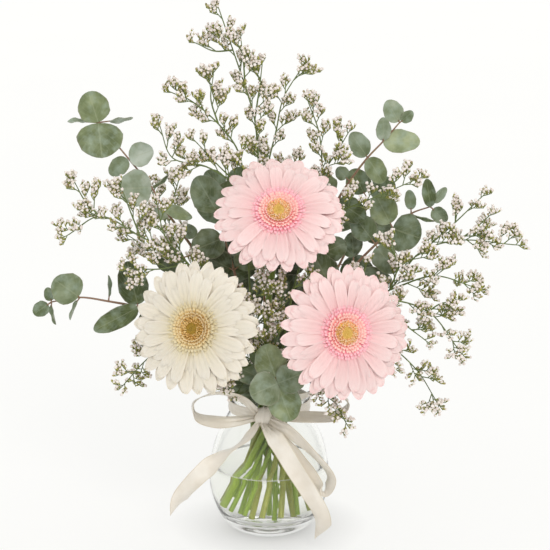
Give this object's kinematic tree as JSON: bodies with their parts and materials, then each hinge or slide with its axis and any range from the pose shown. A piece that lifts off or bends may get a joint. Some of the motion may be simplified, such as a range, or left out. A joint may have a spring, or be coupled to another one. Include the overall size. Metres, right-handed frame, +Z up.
{
  "type": "gerberas in a vase",
  "caption": "Pale pink and cream gerberas with eucalyptus leaves and sea lavender in a round clear glass vase of water, a cream ribbon bow tied round its neck.",
  "frame": {"origin": "middle of the vase's foot, on the surface it stands on", "axes": "+Z up, -Y towards the front of the bouquet, +X to the right as seen from the front"},
  "size_m": [0.4107, 0.1935, 0.4542],
  "materials": {
    "vase_glass": "clear, polished",
    "water": "clear water",
    "ribbon_satin": "cream satin",
    "petal_pink": "soft matt petal",
    "petal_cream": "soft matt petal",
    "eye_gold": "matt, velvety",
    "eye_olive": "matt, velvety",
    "gerbera_green": "smooth green stem",
    "eucalyptus_leaf": "waxy, blue-green",
    "lavender_spray": "dry, wiry"
  },
  "bodies": {
    "root": {"vase": "vase_glass", "water": "water", "ribbon": "ribbon_satin", "gerbera_pink_top_petals": "petal_pink", "gerbera_pink_top_eye": "eye_gold", "gerbera_pink_top_stem": "gerbera_green", "gerbera_cream_left_petals": "petal_cream", "gerbera_cream_left_eye": "eye_olive", "gerbera_cream_left_stem": "gerbera_green", "gerbera_pink_right_petals": "petal_pink", "gerbera_pink_right_eye": "eye_gold", "gerbera_pink_right_stem": "gerbera_green", "eucalyptus_upper_left": "eucalyptus_leaf", "eucalyptus_left": "eucalyptus_leaf", "eucalyptus_upper_right": "eucalyptus_leaf", "eucalyptus_right": "eucalyptus_leaf", "eucalyptus_front": "eucalyptus_leaf", "eucalyptus_inner_left": "eucalyptus_leaf", "eucalyptus_back_right": "eucalyptus_leaf", "eucalyptus_back_left": "eucalyptus_leaf", "eucalyptus_back_top": "eucalyptus_leaf", "lavender_top": "lavender_spray", "lavender_upper_right": "lavender_spray", "lavender_upper_left": "lavender_spray", "lavender_left": "lavender_spray", "lavender_right": "lavender_spray", "lavender_lower_right": "lavender_spray", "lavender_low_front": "lavender_spray", "lavender_middle": "lavender_spray", "lavender_back_right": "lavender_spray", "lavender_back_left": "lavender_spray"}
  },
  "joints": []
}
